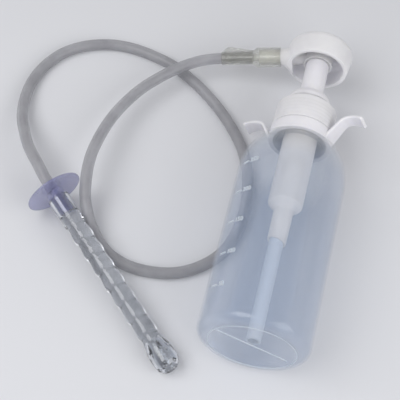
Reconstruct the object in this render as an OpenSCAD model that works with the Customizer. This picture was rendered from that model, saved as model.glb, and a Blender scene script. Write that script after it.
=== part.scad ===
// Hand pump vaginal douche: squeeze bottle with a plunger pump, hose and wave nozzle.
// The bottle lies on its side, foot towards -Y and pump towards +Y, on the plane z = 0.
// Pieces on the bottle's axis are drawn upright, foot at z = 0, and then laid down.

/* [Bottle] */
// Outer radius of the bottle
bottle_r = 31; // [28:0.5:36]
// Wall of the bottle
bottle_wall = 1.2; // [0.8:0.1:1.6]
// Height of the straight side
body_h = 105; // [100:1:130]
// Height of the domed shoulder
shoulder_h = 26; // [20:1:32]
// Outer radius of the neck
neck_r = 15.4; // [14:0.1:16.5]
// Length of the neck above the shoulder
neck_h = 21; // [20:0.5:26]
// Wall of the neck
neck_wall = 2; // [1.5:0.1:2.5]
// Radius of the rounded edge at the foot
corner_r = 6; // [4:0.5:8]
// Width of the flat ring that the bottle stands on
foot_ring_w = 1; // [0.5:0.5:4]
// Depth of the hollow inside that ring
foot_recess = 1.5; // [0.5:0.1:2.5]
// Angle of the pinch-off line across the foot
pinch_angle = 22.5; // [0:0.5:90]
// Width of the pinch-off line
pinch_w = 0.6; // [0.4:0.1:1]
// Height of the pinch-off line
pinch_rise = 0.4; // [0.2:0.1:0.6]

/* [Graduation] */
// Number of marks on the scale
mark_count = 5; // [2:1:5]
// Height of the first mark
mark_first = 22; // [20:0.5:24]
// Height from one mark to the next
mark_pitch = 19.7; // [15:0.1:20]
// Angle of the marks round the bottle, above the -X side
mark_angle = 30.5; // [10:0.5:60]
// Length of one mark round the bottle
mark_len = 4.5; // [3:0.5:8]
// Width of the line of one mark
mark_line_w = 0.8; // [0.4:0.1:1.2]
// How far a mark stands proud
mark_rise = 0.3; // [0.1:0.1:0.5]

/* [Neck thread] */
// Rise of the thread in one turn
thread_pitch = 4; // [3:0.5:5]
// Height of the thread over the neck
thread_rise = 1.1; // [0.6:0.1:1.3]
// Width of the thread at its root
thread_w = 1.8; // [1.2:0.1:2.2]

/* [Finger grip] */
// Outer radius of the ring
grip_r = 18.6; // [17.8:0.1:20]
// Height of the ring
grip_h = 8; // [7:0.1:9]
// Height of the ring's lower flange
grip_flange_h = 1.7; // [1:0.1:2.5]
// Turn of the two wings about the bottle's axis, right wing up
wing_roll = 28; // [0:0.5:30]
// Thickness of a wing
wing_t = 1.8; // [1.4:0.1:2.4]
// Width of a wing at the ring
wing_root_w = 11; // [9:0.5:14]
// Width of a wing at its waist
wing_waist_w = 8.4; // [7:0.1:9]
// Width of a wing at its tip
wing_tip_w = 10.8; // [9:0.1:14]
// Rounding of the wing's corners
wing_corner = 1.2; // [0.8:0.1:3]
// Height of the wing's root over the ring's lower face
wing_root_up = 3.9; // [3.4:0.1:6]
// Length of the straight rise at the root
wing_rise_len = 10; // [8:0.5:12]
// Slope of that rise
wing_rise_slope = 59; // [50:1:75]
// Radius of the bend above it
wing_bend_r = 6.5; // [5:0.5:10]
// Slope where the bend ends
wing_level_slope = 12; // [5:1:20]
// Radius of the hooked finger rest
wing_hook_r = 11; // [9:0.5:14]
// Slope of the wing at its tip, downwards
wing_tip_slope = 38; // [20:1:44]

/* [Screw cap] */
// Outer radius of the cap at its lower edge
cap_r = 18.3; // [17.8:0.1:20]
// Draft of the cap's side
cap_draft = 0.3; // [0:0.1:0.5]
// Wall between the cap's bore and its side
cap_wall = 1.5; // [1:0.1:2]
// Height of the sloping top
cap_slope_h = 4; // [3:0.5:5]
// Rounding of the upper edge
cap_edge_r = 1; // [0.5:0.1:1.5]
// Running gap between the cap and what turns inside it
cap_gap = 0.3; // [0.2:0.05:0.4]

/* [Lock collar] */
// Radius of the collar where it leaves the cap
collar_r = 13; // [12:0.1:13.5]
// Radius of the collar's upper end
collar_top_r = 9; // [7.6:0.1:10]
// Height of the collar's round shoulder
collar_cone_h = 7.3; // [5:0.1:9]
// Length of the plug inside the pump cylinder
collar_plug_h = 6; // [4:0.5:8]

/* [Pump cylinder] */
// Outer radius of the barrel
barrel_r = 9.9; // [9.5:0.1:10.8]
// Bore radius of the barrel
barrel_bore = 8.2; // [8:0.1:8.8]
// Length of the barrel's bore below the flange
barrel_len = 62; // [60:1:64]
// Radius of the flange that the cap clamps
flange_r = 15.6; // [15.2:0.1:16]
// Thickness of that flange
flange_t = 1.5; // [1:0.1:2]
// Thickness of the sealing ring under the flange
gasket_t = 1; // [0.8:0.1:1.5]
// Radius of the inlet ball's chamber
chamber_r = 4.6; // [4.3:0.1:4.8]
// Depth of that chamber, down to its cone
chamber_h = 7.5; // [7:0.1:9]
// Height of the seat's cone
seat_h = 2.5; // [2:0.1:3]
// Radius of the passage below the seat
passage_r = 2.6; // [2:0.1:2.8]
// Length of that passage
passage_h = 4; // [3:0.5:6]
// Outer radius of the dip tube's socket at its mouth
socket_r = 5.3; // [5.2:0.1:6]
// Depth of the dip tube's socket
socket_h = 12; // [8:0.5:14]
// Slant of the socket's mouth
socket_slant = 12; // [0:1:20]

/* [Valves and spring] */
// Radius of the inlet ball
inlet_ball_r = 3.6; // [3.3:0.1:3.8]
// Rise of the inlet ball
inlet_rise = 0.8; // [0.5:0.1:1.2]
// Radius of the outlet ball
outlet_ball_r = 2.9; // [2.7:0.1:3]
// Rise of the outlet ball
outlet_rise = 1.5; // [1:0.1:2]
// Gap between a ball and its seat
ball_gap = 0.1; // [0.05:0.05:0.2]
// Bore radius of the ball cage
cage_bore = 2.2; // [1.8:0.1:2.4]
// Thickness of the cage's flange, which the spring stands on
cage_t = 1.2; // [1:0.1:2]
// Radius of the outlet passage through the valve seat
outlet_bore = 1.9; // [1.6:0.1:2]
// Mean radius of the return spring
spring_r = 6; // [5.6:0.1:6.6]
// Radius of the spring's wire
spring_wire_r = 0.6; // [0.5:0.05:0.8]
// Number of curls in the spring
spring_curls = 10; // [8:1:14]

/* [Plunger] */
// Outer radius of the stem
stem_r = 6.9; // [6.6:0.1:7.2]
// Bore radius of the stem's lower part
stem_bore = 4.6; // [4.4:0.1:4.8]
// Bore radius of the stem's upper part
stem_passage = 2.4; // [1.8:0.1:2.6]
// Radius of the turned-down end inside the piston
stem_end_r = 5.4; // [5.3:0.1:5.6]
// Free length of the stem above the collar
stem_show = 21.2; // [19:0.1:24]
// Height of the piston
piston_h = 9.9; // [8:0.1:11]
// Thickness of the valve seat's flange
valve_flange_t = 1.8; // [1.2:0.1:2.4]
// Radius of the valve seat's flange
valve_flange_r = 7.2; // [6.8:0.1:7.6]
// Radial gap of parts that slide or are pushed together
fit_gap = 0.05; // [0.03:0.01:0.08]
// Gap between faces that meet at the end of a stroke
stop_gap = 0.3; // [0.2:0.1:0.5]

/* [Pump head] */
// Largest radius of the head
head_r = 19.7; // [19:0.1:22]
// Outer radius of the head's lower rim
head_rim_r = 18.1; // [17:0.1:19]
// Height from the rim to the widest place
head_side_h = 11.4; // [11:0.1:14]
// Rounding of the head's upper edge
head_edge_r = 3.2; // [2:0.1:4]
// Height of the low dome over that rounding
head_dome_h = 2.8; // [2:0.1:5]
// Wall of the head
head_wall = 2; // [1.5:0.1:2.5]
// Radius of the hub round the stem
hub_r = 8.6; // [8.2:0.1:9.5]
// Height of the hub's mouth over the rim
hub_up = 2.8; // [1:0.1:4]
// Depth of the stem in the head, from the rim
stem_in_head = 6.3; // [5:0.1:7]

/* [Spout and hose connector] */
// Turn of the spout about the bottle's axis, below the -X side
spout_roll = 13; // [0:0.5:20]
// Slope of the spout towards the bottle
spout_droop = 8.8; // [0:0.1:10]
// Height of the spout's line over the rim, on the bottle's axis
spout_up = 10.6; // [10:0.1:11]
// Radius of the spout
spout_r = 5.2; // [5:0.1:6]
// Bore radius of the spout
spout_bore = 2.6; // [2:0.1:3]
// Radius of the spout's end inside the connector
spout_end_r = 4.7; // [4.2:0.1:4.8]
// Place of the spout's step, along the spout
spout_step_at = 23.8; // [23:0.1:26]
// Place of the spout's end
spout_end_at = 36.9; // [33:0.1:38]
// Radius of the root fillet's wide end
root_fillet_r = 6.6; // [6:0.1:8]
// Outer radius of the connector's socket
socket_out_r = 6.1; // [5.8:0.1:7]
// Place where the socket starts to narrow
socket_end_at = 38.5; // [38.4:0.1:40]
// Length of the narrowing
socket_cone_h = 2.5; // [1.5:0.1:4]
// Outer radius of the connector's hose tube
hose_tube_r = 4.2; // [4.1:0.1:5]
// Place of the connector's end
connector_end_at = 60.4; // [56:0.1:64]
// Radius of the passage between socket and hose tube
connector_bore = 2; // [1.5:0.1:2.4]
// Thickness of the flat lug
lug_t = 2.2; // [1.6:0.1:3]
// Height of the lug over the tube near the hose's end
lug_h = 3.7; // [2:0.1:5]

/* [Hose] */
// Outer radius of the hose
hose_r = 3.4; // [3:0.1:3.4]
// Bore radius of the hose
hose_bore = 2; // [1.95:0.05:2.4]

/* [Dip tube] */
// Outer radius of the dip tube
dip_r = 4; // [3.6:0.1:4]
// Wall of the dip tube
dip_wall = 1; // [0.7:0.1:1.4]
// Height of the dip tube's mouth over the foot
dip_end = 4; // [3.5:0.5:10]

/* [Splash guard] */
// Place of the guard's front face across the bottle, from its axis
guard_x = -128.4; // [-128.9:0.1:-127.9]
// Place of the guard's front face along the bottle, from its foot
guard_y = 68.6; // [68.1:0.1:69.1]
// Turn of the nozzle about the vertical
nozzle_turn = -42.1; // [-42.6:0.1:-41.6]
// Radius of the guard
guard_r = 16.6; // [16.2:0.1:16.8]
// Thickness of the guard
guard_t = 1.5; // [1.2:0.1:1.6]
// Radius of the boss in front of the guard
guard_boss_r = 5.3; // [5:0.1:5.6]
// Length of that boss
guard_boss_h = 4; // [3:0.1:5]
// End of the plug inside the nozzle, from the guard
guard_plug_end = 15; // [12:0.5:18]
// Bore radius through the plug
guard_bore = 2.3; // [1.6:0.1:2.6]
// Radius of the barb inside the hose
barb_r = 1.9; // [1.7:0.05:1.9]
// Bore radius through the barb
barb_bore = 1.2; // [1:0.1:1.3]
// Length of the barb behind the guard
barb_h = 7; // [5:0.5:7]

/* [Nozzle] */
// Outer radius at the mouth
nozzle_r = 6.4; // [6.2:0.05:6.5]
// Outer radius at the end of the slightly tapered straight part
straight_end_r = 5.8; // [5.6:0.05:5.9]
// Outer radius of the ring that ends the straight part
nozzle_ring_r = 6.15; // [6:0.05:6.3]
// Start of the first wave, from the guard
wave_start = 24.2; // [23.5:0.1:24.5]
// Length of one wave
wave_pitch = 10.9; // [10.6:0.1:11]
// Number of waves
wave_count = 7; // [3:1:7]
// Outer radius at a wave's foot
wave_low_r = 5.25; // [5:0.05:5.5]
// Outer radius at a wave's crest
wave_high_r = 6; // [5.8:0.05:6.3]
// Part of a wave that rises
wave_rise_share = 0.72; // [0.6:0.01:0.85]
// Bore radius of the nozzle
nozzle_bore = 3.2; // [2.6:0.1:3.5]
// Bore radius that takes the guard's plug
mouth_bore = 4.4; // [4.2:0.05:4.5]
// Radius of the round bulb
bulb_r = 7.15; // [7:0.05:7.5]
// Place of the bulb's round centre, from the guard
bulb_at = 116; // [115:0.1:117]
// Length of the bulb's straight side
bulb_side_h = 5; // [3:0.5:6]
// Wall of the bulb
bulb_wall = 1.5; // [1.2:0.1:1.8]
// Radius of a discharge hole
jet_r = 0.9; // [0.6:0.1:1]
// Number of discharge holes in each of the two rings
jet_count = 6; // [4:1:6]
// Distance of the rear ring of holes from the bulb's centre
jet_offset = 6.4; // [5.5:0.1:7]
// Angle of the front ring of holes from the nozzle's axis
jet_slope = 60; // [45:1:75]

/* [Hidden] */
$fn = 72;
arc_step = 10;
// Overlap of a cutting tool past the face that it cuts
cut = 0.5;

// Heights of the pieces on the bottle's axis, bottle upright
shoulder_top = body_h + shoulder_h;
neck_top = shoulder_top + neck_h;
neck_bore = neck_r - neck_wall;
shoulder_w = bottle_r - neck_r;
flange_z = neck_top + gasket_t;
clamp_z = flange_z + flange_t;
grip_z = shoulder_top + stop_gap;
grip_top = grip_z + grip_h;
grip_bore = neck_r + cap_gap;
cap_z = grip_top + stop_gap;
cap_bore = cap_r - cap_wall;
cap_side_top = clamp_z + cap_edge_r / 2;
cap_hole = collar_r + cap_gap;
cap_top = cap_side_top + cap_slope_h;
collar_cone_z = cap_top + stop_gap / 2;
collar_top = collar_cone_z + collar_cone_h;
plug_z = clamp_z - collar_plug_h;
barrel_z = flange_z - barrel_len;
seat_top = barrel_z - chamber_h;
seat_z = seat_top - seat_h;
socket_top = seat_z - passage_h;
socket_z = socket_top - socket_h;
socket_bore = dip_r + fit_gap;

// Plunger heights
piston_top = plug_z - stop_gap;
piston_z = piston_top - piston_h;
valve_z = piston_z - valve_flange_t;
valve_spigot_r = stem_bore - fit_gap;
valve_spigot_top = piston_top + 2.3;
valve_cone_r = valve_spigot_r - 1.1;
stem_bore_top = valve_spigot_top + 2 * outlet_ball_r + 0.7;
rim_z = collar_top + stem_show;
stem_top = rim_z + stem_in_head;

// A ball rests in a cone where its radius meets the cone's side
seat_slope = atan((chamber_r - passage_r) / seat_h);
seat_apex = seat_z - passage_r / tan(seat_slope);
inlet_ball_z = seat_apex + (inlet_ball_r + ball_gap) / sin(seat_slope);
valve_apex = valve_spigot_top - valve_cone_r;
outlet_ball_z = valve_apex + (outlet_ball_r + ball_gap) / sin(45);
cage_foot_z = inlet_ball_z + inlet_ball_r + inlet_rise + ball_gap;

// Spring between the ball cage and the valve seat
spring_low = barrel_z + cage_t + spring_wire_r + fit_gap;
spring_high = valve_z - spring_wire_r - fit_gap;
spring_rings = 8;
spring_sides = 6;
spring_pitch = (spring_high - spring_low) / spring_curls;
spring_points = [
    for (i = [0 : spring_curls * spring_rings])
        let (a = 360 * i / spring_rings)
        [spring_r * cos(a), spring_r * sin(a), spring_low + spring_pitch * i / spring_rings]
];
spring_least_gap = min([
    for (i = [0 : spring_rings], j = [i + spring_rings - 2 : 1 : i + spring_rings + 2])
        norm(spring_points[i] - spring_points[j]) - 2 * spring_wire_r
]);
echo(spring_least_gap = spring_least_gap);

// Pump head and spout
head_wide_z = rim_z + head_side_h;
head_edge_top = head_wide_z + head_edge_r * sin(70);
head_top = head_edge_top + head_dome_h;
spout_z = rim_z + spout_up;
hose_seat_at = socket_end_at + socket_cone_h;

// Nozzle rests on the rim of its guard and on its bulb
bulb_end_at = bulb_at + bulb_r;
nozzle_dip = acos(bulb_r / norm([guard_r, bulb_at])) - atan2(bulb_at, guard_r);
wave_end = wave_start + wave_pitch * wave_count;
bulb_start = bulb_at - bulb_side_h;
ring_at = wave_start - 2.9;

// Line of a wing, seen from the side: a rise, a bend and a hooked rest
wing_p1 = [grip_r - 0.1, grip_z + wing_root_up];
wing_p2 = wing_p1 + wing_rise_len * [cos(wing_rise_slope), sin(wing_rise_slope)];
wing_c2 = wing_p2 + wing_bend_r * [sin(wing_rise_slope), -cos(wing_rise_slope)];
wing_p3 = wing_c2 + wing_bend_r * [-sin(wing_level_slope), cos(wing_level_slope)];
wing_c3 = wing_p3 + wing_hook_r * [sin(wing_level_slope), -cos(wing_level_slope)];
wing_tip_reach = wing_c3[0] + wing_hook_r * sin(wing_tip_slope);

// The whole object without its hose is centred on the origin
left_x = guard_x - guard_r * sin(-nozzle_turn) - guard_t * cos(nozzle_turn);
right_x = wing_tip_reach * cos(wing_roll) + wing_tip_w / 2 * sin(wing_roll);
low_y = guard_y + bulb_at * cos(nozzle_dip) * sin(nozzle_turn) - bulb_r;
shift_x = -(left_x + right_x) / 2;
shift_y = -(low_y + head_top) / 2;

// Route of the hose's centre line, from the bottle's foot centre on the surface
hose_route = [
    [-71, 184.5, 15.5], [-82, 176.5, 14.5], [-92, 166, 14], [-100.5, 154, 14.5],
    [-107, 140.5, 15.5], [-111.5, 126, 17.5], [-114, 111.5, 19.5], [-115, 96, 21],
    [-113.5, 81, 20.5], [-110, 68, 15.5], [-102.5, 56.5, 8.5], [-92, 47, 4.5],
    [-79, 42, 3.5], [-64.5, 41.5, 3.5], [-50, 45, 3.5], [-37.5, 53, 3.5],
    [-28, 64.5, 3.5], [-23, 79, 3.5], [-21.5, 94, 3.5], [-22.5, 108.5, 3.5],
    [-26, 123, 3.5], [-32, 136.5, 3.5], [-40.5, 148.5, 3.5], [-50.5, 159.5, 3.5],
    [-62, 169.5, 3.5], [-73.5, 177.5, 3.5], [-86.5, 184.5, 3.5], [-100.5, 188.5, 3.5],
    [-115.5, 190.5, 3.5], [-130, 189, 3.5], [-144, 183.5, 3.5], [-155.5, 174.5, 3.5],
    [-163.5, 162, 3.5], [-167.5, 148, 4], [-167.5, 133.5, 5.5], [-164.5, 119, 8.5],
    [-159, 106.5, 12.5], [-152, 94, 16.5], [-142.5, 82.5, 18.5]
];
hose_lead = 9;
hose_sides = 12;
hose_points = concat(
    [on_spout_line(hose_seat_at), on_spout_line(connector_end_at)],
    [for (p = hose_route) p + [shift_x, shift_y, 0]],
    [on_nozzle_line(-guard_t - hose_lead), on_nozzle_line(-guard_t)]
);

// Points of an arc about a centre, from one angle to another
function arc(centre, rx, ry, from, to) =
    let (steps = ceil(abs(to - from) / arc_step))
    [for (i = [0 : steps]) let (a = from + (to - from) * i / steps)
        centre + [rx * cos(a), ry * sin(a)]];

// The points after the first, for an arc that starts where the last one ended
function after_first(list) = [for (i = [1 : len(list) - 1]) list[i]];

// A point on the spout's line, in the laid-down frame
function on_spout_line(at) =
    let (out = at * cos(spout_droop))
    [shift_x - out * cos(spout_roll),
     shift_y + spout_z - at * sin(spout_droop),
     bottle_r - out * sin(spout_roll)];

// A point on the nozzle's line, measured from the guard's front face
function on_nozzle_line(at) =
    [shift_x + guard_x + at * cos(nozzle_dip) * cos(nozzle_turn),
     shift_y + guard_y + at * cos(nozzle_dip) * sin(nozzle_turn),
     guard_r * cos(nozzle_dip) - at * sin(nozzle_dip)];

function unit(v) = v / norm(v);

// Direction of a line of points at one of them
function heading(points, i) =
    unit(points[min(i + 1, len(points) - 1)] - points[max(i - 1, 0)]);

// One ring of a swept tube
function ring(points, i, r, sides, up) =
    let (t = heading(points, i), side = unit(cross(t, up)), top = cross(side, t))
    [for (k = [0 : sides - 1]) points[i] + r * (cos(360 * k / sides) * side + sin(360 * k / sides) * top)];

// Faces of the skin between rings, seen from the side that the flag tells
function skin(rings, sides, start, inside) = [
    for (i = [0 : rings - 2], k = [0 : sides - 1])
        let (
            a = start + i * sides + k,
            b = start + i * sides + (k + 1) % sides,
            c = b + sides,
            d = a + sides
        )
        for (face = inside ? [[a, c, b], [a, d, c]] : [[a, b, c], [a, c, d]]) face
];

// Solid wire along points
module wire(points, r, sides, up) {
    n = len(points);
    polyhedron(
        points = [for (i = [0 : n - 1]) each ring(points, i, r, sides, up)],
        faces = concat(
            skin(n, sides, 0, false),
            [[for (k = [sides - 1 : -1 : 0]) k]],
            [[for (k = [0 : sides - 1]) (n - 1) * sides + k]]
        ),
        convexity = 10
    );
}

// Tube with a bore along points
module tube(points, r, bore, sides, up) {
    n = len(points);
    inner_r = bore / cos(180 / sides);
    half = n * sides;
    last = (n - 1) * sides;
    polyhedron(
        points = concat(
            [for (i = [0 : n - 1]) each ring(points, i, r, sides, up)],
            [for (i = [0 : n - 1]) each ring(points, i, inner_r, sides, up)]
        ),
        faces = concat(
            skin(n, sides, 0, false),
            skin(n, sides, half, true),
            [for (k = [0 : sides - 1]) let (m = (k + 1) % sides)
                each [[k, half + k, half + m], [k, half + m, m]]],
            [for (k = [0 : sides - 1]) let (m = (k + 1) % sides)
                each [[last + k, last + m, half + last + m], [last + k, half + last + m, half + last + k]]]
        ),
        convexity = 10
    );
}

// Lays an upright piece down, its axis along +Y
module laid() {
    translate([shift_x, shift_y, bottle_r]) rotate([-90, 0, 0]) children();
}

// Puts a piece drawn along +Z on the spout's line
module on_spout() {
    translate([0, 0, spout_z]) rotate([0, 0, 180 - spout_roll]) rotate([0, 90 + spout_droop, 0]) children();
}

// Puts a piece drawn along +Z, from the guard's front face, where the nozzle lies
module on_nozzle() {
    translate(on_nozzle_line(0)) rotate([0, 90 + nozzle_dip, nozzle_turn]) children();
}

// Round rod or bore from one height to another
module rod(r, from, to) {
    translate([0, 0, from]) cylinder(r = r, h = to - from);
}

// Ring between two radii
module collar_ring(r, bore, from, to) {
    difference() {
        rod(r, from, to);
        rod(bore, from - cut, to + cut);
    }
}

module bottle_body() {
    wall = bottle_wall;
    flat_r = bottle_r - corner_r;
    recess_r = flat_r - foot_ring_w;
    rotate_extrude() polygon(concat(
        [[0, foot_recess], [recess_r - 2 * foot_recess, foot_recess], [recess_r, 0]],
        arc([flat_r, corner_r], corner_r, corner_r, -90, 0),
        arc([neck_r, body_h], shoulder_w, shoulder_h, 0, 90),
        [[neck_r, neck_top], [neck_bore, neck_top]],
        arc([neck_bore, body_h], bottle_r - wall - neck_bore, shoulder_h - wall, 90, 0),
        arc([flat_r, corner_r], corner_r - wall, corner_r - wall, 0, -90),
        [[recess_r, wall], [recess_r - 2 * foot_recess, foot_recess + wall], [0, foot_recess + wall]]
    ));
}

// Raised mark of the scale, as a short arc round the bottle
module scale_mark(height) {
    mark_sweep = mark_len / bottle_r * 180 / PI;
    rotate([0, 0, 180 + mark_angle - mark_sweep / 2])
        rotate_extrude(angle = mark_sweep)
            translate([bottle_r - bottle_wall / 2, height - mark_line_w / 2])
                square([bottle_wall / 2 + mark_rise, mark_line_w]);
}

// Thread as short level steps that climb round the neck
module neck_thread() {
    steps = 12;
    sweep = 40;
    first = neck_top - 3.5 * thread_w - thread_pitch * (steps - 1) * 36 / 360;
    for (i = [0 : steps - 1])
        rotate([0, 0, 36 * i]) rotate_extrude(angle = sweep)
            translate([neck_r, first + thread_pitch * i * 36 / 360 + thread_w])
                polygon([
                    [-neck_wall / 2, -thread_w / 2], [0, -thread_w / 2], [thread_rise, -thread_w / 5],
                    [thread_rise, thread_w / 5], [0, thread_w / 2], [-neck_wall / 2, thread_w / 2]
                ]);
}

module bottle() {
    pinch_len = 2 * (bottle_r - corner_r - foot_ring_w - 1.5 * foot_recess);
    color("lightsteelblue") laid() {
        bottle_body();
        for (i = [0 : mark_count - 1]) scale_mark(mark_first + i * mark_pitch);
        neck_thread();
        rotate([0, 0, pinch_angle]) translate([-pinch_len / 2, -pinch_w / 2, foot_recess - pinch_rise])
            cube([pinch_len, pinch_w, pinch_rise + bottle_wall / 2]);
    }
}

// Side outline of one wing, from the ring to the tip
module wing_side() {
    h = wing_t / 2;
    root_low = grip_z + grip_flange_h;
    up_side = [-sin(wing_rise_slope), cos(wing_rise_slope)];
    polygon(concat(
        [[grip_bore + h, root_low], [grip_bore + h, wing_p1[1] + h]],
        [wing_p1 + h * up_side],
        arc(wing_c2, wing_bend_r + h, wing_bend_r + h, wing_rise_slope + 90, wing_level_slope + 90),
        after_first(arc(wing_c3, wing_hook_r + h, wing_hook_r + h, wing_level_slope + 90, 90 - wing_tip_slope)),
        arc(wing_c3, wing_hook_r - h, wing_hook_r - h, 90 - wing_tip_slope, wing_level_slope + 90),
        after_first(arc(wing_c2, wing_bend_r - h, wing_bend_r - h, wing_level_slope + 90, wing_rise_slope + 90)),
        [wing_p1 - h * up_side, [wing_p1[0] + h, root_low]]
    ));
}

// Half of a wing's width: narrowing to its waist and widening again to its tip
function wing_half(x, tip_x) =
    let (waist_x = grip_r + 0.55 * (tip_x - grip_r))
    x < waist_x
        ? wing_waist_w / 2 + (wing_root_w - wing_waist_w) / 2 * pow((waist_x - x) / (waist_x - grip_r), 2)
        : wing_waist_w / 2 + (wing_tip_w - wing_waist_w) / 2 * pow((x - waist_x) / (tip_x - waist_x), 2);

// Plan outline of one wing, with a small round at each corner of its tip
module wing_plan() {
    c = wing_corner;
    tip_x = wing_tip_reach + wing_t / 2;
    side_xs = [for (k = [0 : 7]) grip_r + (tip_x - c - grip_r) * k / 8];
    polygon(concat(
        [[0, wing_root_w / 2]],
        [for (x = side_xs) [x, wing_half(x, tip_x)]],
        arc([tip_x - c, wing_tip_w / 2 - c], c, c, 90, 0),
        arc([tip_x - c, c - wing_tip_w / 2], c, c, 0, -90),
        [for (k = [7 : -1 : 0]) [side_xs[k], -wing_half(side_xs[k], tip_x)]],
        [[0, -wing_root_w / 2]]
    ));
}

module wing() {
    intersection() {
        rotate([90, 0, 0]) translate([0, 0, -wing_root_w]) linear_extrude(2 * wing_root_w) wing_side();
        translate([0, 0, grip_z]) linear_extrude(3 * grip_h) wing_plan();
    }
}

module finger_grip() {
    groove = 0.3;
    color("whitesmoke") laid() difference() {
        union() {
            rod(grip_r, grip_z, grip_z + grip_flange_h);
            rod(grip_r - groove, grip_z, grip_top);
            rod(grip_r - 0.1, grip_z + grip_flange_h + groove, grip_top - groove);
            rotate([0, 0, -wing_roll]) {
                wing();
                rotate([0, 0, 180]) wing();
            }
        }
        rod(grip_bore, grip_z - cut, grip_top + cut + wing_rise_len);
    }
}

module screw_cap() {
    side_r = cap_r - cap_draft;
    color("white") laid() rotate_extrude() polygon(concat(
        [[cap_bore, cap_z], [cap_r - 0.4, cap_z], [cap_r, cap_z + 0.4]],
        arc([side_r - cap_edge_r, cap_side_top - cap_edge_r], cap_edge_r, cap_edge_r, 0, 50),
        [[cap_hole + 0.2, cap_top], [cap_hole, cap_top - 0.2], [cap_hole, clamp_z], [cap_bore, clamp_z]]
    ));
}

module neck_gasket() {
    color("silver") laid() collar_ring(neck_r - 0.2, neck_bore, neck_top, flange_z);
}

module lock_collar() {
    color("white") laid() difference() {
        rotate_extrude() polygon(concat(
            [[0, plug_z], [barrel_bore - fit_gap, plug_z], [barrel_bore - fit_gap, clamp_z], [collar_r, clamp_z]],
            arc([collar_top_r, collar_cone_z], collar_r - collar_top_r, collar_cone_h, 0, 90),
            [[0, collar_top]]
        ));
        rod(stem_r + fit_gap, plug_z - cut, collar_top + cut);
    }
}

module pump_cylinder() {
    cone_r = socket_r + 0.3;
    shoulder_z = barrel_z - 2;
    color("aliceblue") laid() difference() {
        union() {
            rod(flange_r, flange_z, clamp_z);
            rod(barrel_r, shoulder_z, flange_z);
            translate([0, 0, shoulder_z - 4]) cylinder(r1 = cone_r, r2 = barrel_r, h = 4);
            translate([0, 0, socket_z]) cylinder(r1 = socket_r, r2 = cone_r, h = shoulder_z - 4 - socket_z);
        }
        rod(barrel_bore, barrel_z, clamp_z + cut);
        rod(chamber_r, seat_top, barrel_z + cut);
        translate([0, 0, seat_z]) cylinder(r1 = passage_r, r2 = chamber_r, h = seat_h);
        rod(passage_r, socket_top - cut, seat_z + cut / 2);
        rod(socket_bore, socket_z - cut, socket_top);
        translate([0, 0, socket_z]) rotate([0, socket_slant, 0])
            translate([-4 * socket_r, -4 * socket_r, -8 * socket_r]) cube(8 * socket_r);
    }
}

module inlet_ball() {
    color("gainsboro") laid() translate([0, 0, inlet_ball_z]) sphere(r = inlet_ball_r);
}

module ball_cage() {
    color("white") laid() difference() {
        union() {
            rod(barrel_bore - fit_gap, barrel_z, barrel_z + cage_t);
            rod(chamber_r - fit_gap, cage_foot_z, barrel_z);
        }
        rod(cage_bore, cage_foot_z - cut, barrel_z + cage_t + cut);
    }
}

module return_spring() {
    color("lightgray") laid() wire(spring_points, spring_wire_r, spring_sides, [0, 0, 1]);
}

module valve_seat() {
    color("white") laid() difference() {
        union() {
            rod(valve_flange_r, valve_z, piston_z);
            rod(valve_spigot_r, valve_z, valve_spigot_top);
        }
        rod(outlet_bore, valve_z - cut, valve_spigot_top + cut);
        translate([0, 0, valve_apex]) cylinder(r1 = 0, r2 = valve_cone_r, h = valve_cone_r);
    }
}

module piston() {
    lip = 1.5;
    color("white") laid() difference() {
        rod(barrel_bore - fit_gap, piston_z, piston_top);
        rod(stem_end_r + fit_gap, piston_z - cut, piston_top + cut);
        collar_ring(barrel_bore, stem_r + 0.6, piston_z + lip, piston_top - lip);
    }
}

module stem() {
    color("white") laid() difference() {
        union() {
            rod(stem_end_r, piston_z, piston_top);
            rod(stem_r, piston_top, stem_top);
        }
        rod(stem_bore, piston_z - cut, stem_bore_top);
        rod(stem_passage, stem_bore_top - cut, stem_top + cut);
    }
}

module outlet_ball() {
    color("gainsboro") laid() translate([0, 0, outlet_ball_z]) sphere(r = outlet_ball_r);
}

// Round shell of the head, hollow below
module head_shell() {
    edge_r = head_r - head_edge_r + head_edge_r * cos(70);
    dome_r = (edge_r * edge_r + head_dome_h * head_dome_h) / (2 * head_dome_h);
    dome_sweep = asin(edge_r / dome_r);
    in_r = head_r - head_wall;
    in_edge = head_edge_r;
    rotate_extrude() polygon(concat(
        [[head_rim_r - 0.3, rim_z], [head_rim_r, rim_z + 0.3]],
        arc([head_r - head_edge_r, head_wide_z], head_edge_r, head_edge_r, 0, 70),
        [for (k = [3 : -1 : 1]) let (a = dome_sweep * k / 4)
            [dome_r * sin(a), head_top - dome_r * (1 - cos(a))]],
        [[head_r / 10, head_top], [0, head_top], [0, head_edge_top - head_wall / 2]],
        arc([in_r - in_edge, head_edge_top - in_edge - head_wall / 2], in_edge, in_edge, 90, 0),
        [[head_rim_r - head_wall - 0.4, rim_z]]
    ));
}

module pump_head() {
    spout_from = hub_r - 1;
    root_at = head_rim_r - 0.5;
    color("white") laid() difference() {
        union() {
            head_shell();
            rod(hub_r, rim_z + hub_up, head_edge_top);
            on_spout() {
                rod(spout_r, spout_from, spout_step_at);
                rod(spout_end_r, spout_from, spout_end_at);
                translate([0, 0, root_at]) cylinder(r1 = root_fillet_r, r2 = spout_r, h = spout_step_at - root_at - 0.6);
            }
        }
        rod(stem_r + fit_gap, rim_z + hub_up - cut, stem_top);
        rod(stem_passage, stem_top - cut, spout_z + spout_bore / 2);
        on_spout() rod(spout_bore, 0, spout_end_at + cut);
    }
}

module dip_tube() {
    color("azure") laid() collar_ring(dip_r, dip_r - dip_wall, dip_end, socket_top);
}

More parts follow.
